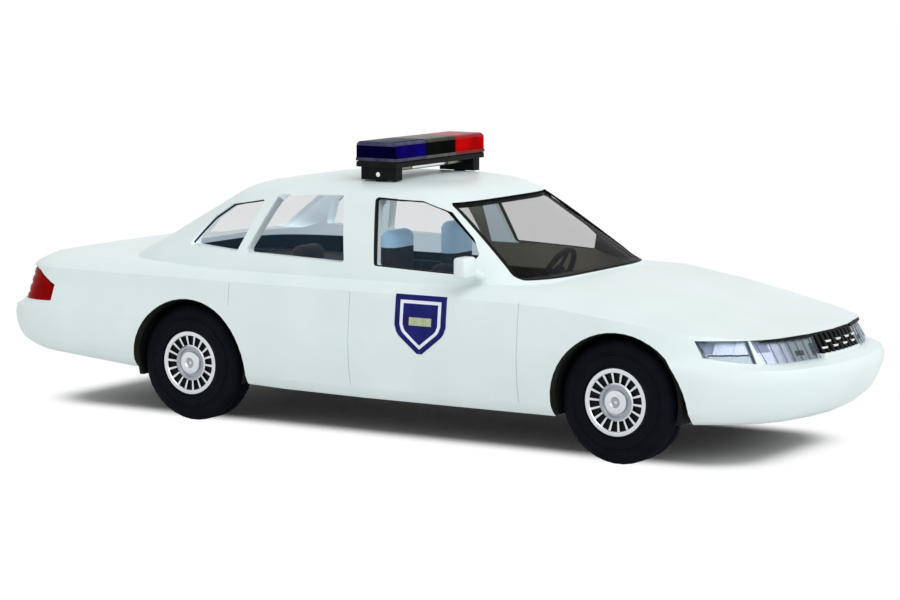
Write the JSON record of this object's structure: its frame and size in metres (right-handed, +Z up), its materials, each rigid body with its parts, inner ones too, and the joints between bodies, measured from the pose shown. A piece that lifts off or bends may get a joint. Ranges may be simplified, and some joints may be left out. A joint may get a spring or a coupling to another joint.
{
  "type": "scale model police patrol car",
  "caption": "Small plastic scale model of a white police sedan with clear windows, blue and red roof light bar and wheels that roll on steel axles.",
  "frame": {"origin": "on the ground below the middle of the car's length and width", "axes": "+X to the nose, +Y to the car's left, +Z up"},
  "size_m": [0.0621, 0.0233, 0.0195],
  "materials": {
    "white_shell": "semi-gloss moulded white",
    "clear_glazing": "clear moulded styrene",
    "interior": "matt dark grey-brown",
    "black_plastic": "matt black",
    "grille": "black with bright bars",
    "lamp_clear": "clear lens over a bright reflector",
    "lamp_red": "printed red",
    "bar_blue": "clear blue",
    "bar_black": "gloss black",
    "bar_red": "clear red",
    "steel": "drawn rod",
    "tyre": "matt black",
    "hubcap": "silver print"
  },
  "bodies": {
    "car": {"body_shell": "white_shell", "window_insert": "clear_glazing", "interior_tub": "interior", "steering_wheel": "black_plastic", "chassis_plate": "black_plastic", "door_mirror": "white_shell", "grille_insert": "grille", "headlamp_lenses": "lamp_clear", "corner_lenses": "lamp_clear", "tail_lamps": "lamp_red", "light_bar_base": "black_plastic", "light_bar_blue_lens": "bar_blue", "light_bar_centre": "bar_black", "light_bar_red_lens": "bar_red"},
    "front_wheelset": {"front_axle": "steel", "front_left_tyre": "tyre", "front_right_tyre": "tyre", "front_left_hubcap": "hubcap", "front_right_hubcap": "hubcap"},
    "rear_wheelset": {"rear_axle": "steel", "rear_left_tyre": "tyre", "rear_right_tyre": "tyre", "rear_left_hubcap": "hubcap", "rear_right_hubcap": "hubcap"}
  },
  "joints": [
    {"name": "front_axle_spin", "type": "hinge", "parent": "car", "child": "front_wheelset", "pos_m": [0.0189, 0, 0.00405], "axis": [0, 1, 0], "continuous": true},
    {"name": "rear_axle_spin", "type": "hinge", "parent": "car", "child": "rear_wheelset", "pos_m": [-0.0145, 0, 0.00405], "axis": [0, 1, 0], "continuous": true}
  ]
}
